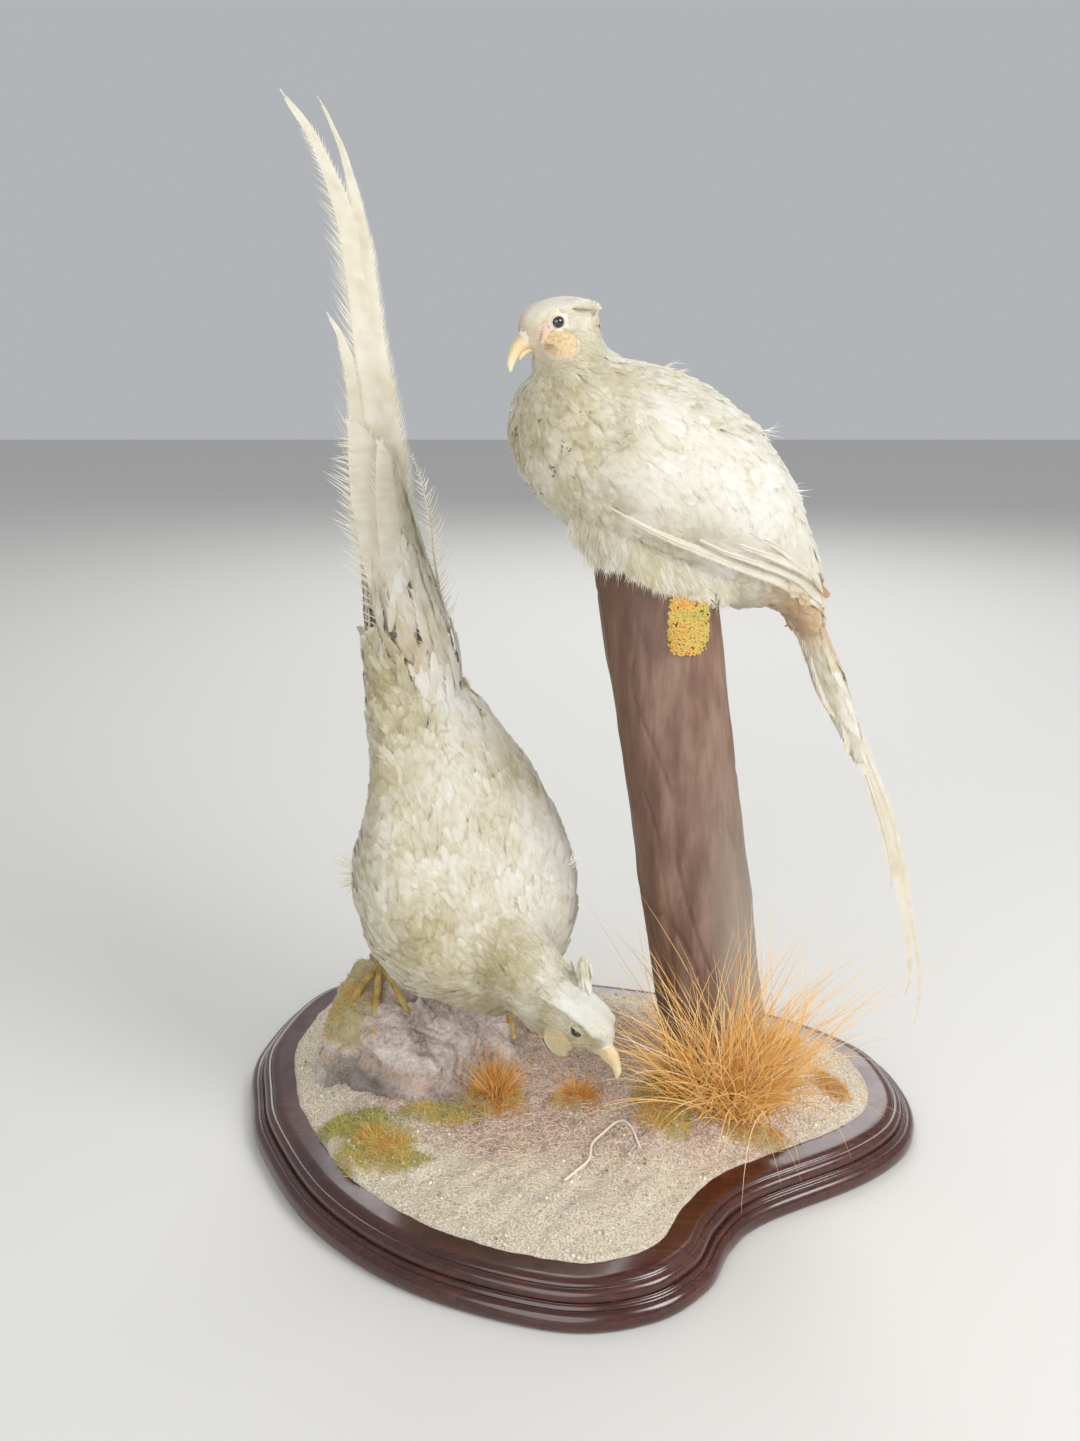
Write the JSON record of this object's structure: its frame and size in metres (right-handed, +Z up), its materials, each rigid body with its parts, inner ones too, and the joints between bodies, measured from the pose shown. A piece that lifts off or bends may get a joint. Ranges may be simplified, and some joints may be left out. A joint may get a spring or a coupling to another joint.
{
  "type": "taxidermy pheasant",
  "caption": "Mounted white cock pheasant leaning down off a rock with its tail raised, beside another sitting on a leaning post, on a moulded mahogany board with groundwork.",
  "frame": {"origin": "on the underside of the board, near its middle", "axes": "+Z up; -Y is the front, from which the mount is seen; +X to the viewer's right"},
  "size_m": [0.5218, 0.4319, 0.7224],
  "materials": {
    "coat": "ivory white plumage, soft and matt",
    "bill": "pale horn, dull shine",
    "foot": "dried scaly skin, yellowish brown",
    "eye": "dark polished glass",
    "mahogany": "french polished, dark red brown",
    "sand": "sanded papier-mache groundwork with grit and moss",
    "stone": "rough modelled rock, matt",
    "bark": "smooth wrinkled stump, taupe brown"
  },
  "bodies": {
    "root": {"board": "mahogany", "groundwork": "sand", "rock": "stone", "post": "bark", "cock_trunk": "coat", "cock_neck": "coat", "cock_head": "coat", "cock_upper_bill": "bill", "cock_lower_bill": "bill", "cock_eye_left": "eye", "cock_eye_right": "eye", "cock_wing_left": "coat", "cock_wing_right": "coat", "cock_thigh_left": "coat", "cock_thigh_right": "coat", "cock_foot_left": "foot", "cock_foot_right": "foot", "cock_tail": "coat", "perched_bird": "coat"}
  },
  "joints": []
}
